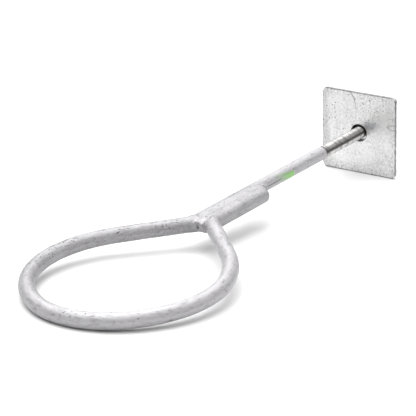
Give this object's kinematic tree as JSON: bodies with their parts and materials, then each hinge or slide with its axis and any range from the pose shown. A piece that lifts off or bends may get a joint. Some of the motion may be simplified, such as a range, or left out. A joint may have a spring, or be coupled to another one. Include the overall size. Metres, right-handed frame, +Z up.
{
  "type": "ring anchor bolt",
  "caption": "Pear-shaped loop of round bar welded to a long threaded rod, with a square anchor plate and nut for bolting through a wall.",
  "frame": {"origin": "centre of the plate's hole, on the plate face that looks towards the loop and bears on the wall", "axes": "the object lies as it comes to rest: +X runs from the plate towards the loop, +Y to the side where the loop bar's tail lies, +Z up; the rod slopes down by 3.8 degrees towards the loop"},
  "size_m": [0.5221, 0.1759, 0.08],
  "materials": {
    "galvanised_bar": "hot-dip galvanised, matt, with pits and dark specks",
    "galvanised_weld": "zinc-coated weld bead, satin and lumpy",
    "galvanised_plate": "hot-dip galvanised, pale and mottled",
    "bright_steel": "bare cut steel, bright"
  },
  "bodies": {
    "root": {"ring_loop": "galvanised_bar", "anchor_rod": "galvanised_bar", "neck_weld": "galvanised_weld", "tail_seam_weld": "galvanised_weld", "tail_end_weld": "galvanised_weld", "square_plate": "galvanised_plate", "hex_nut": "bright_steel"}
  },
  "joints": []
}
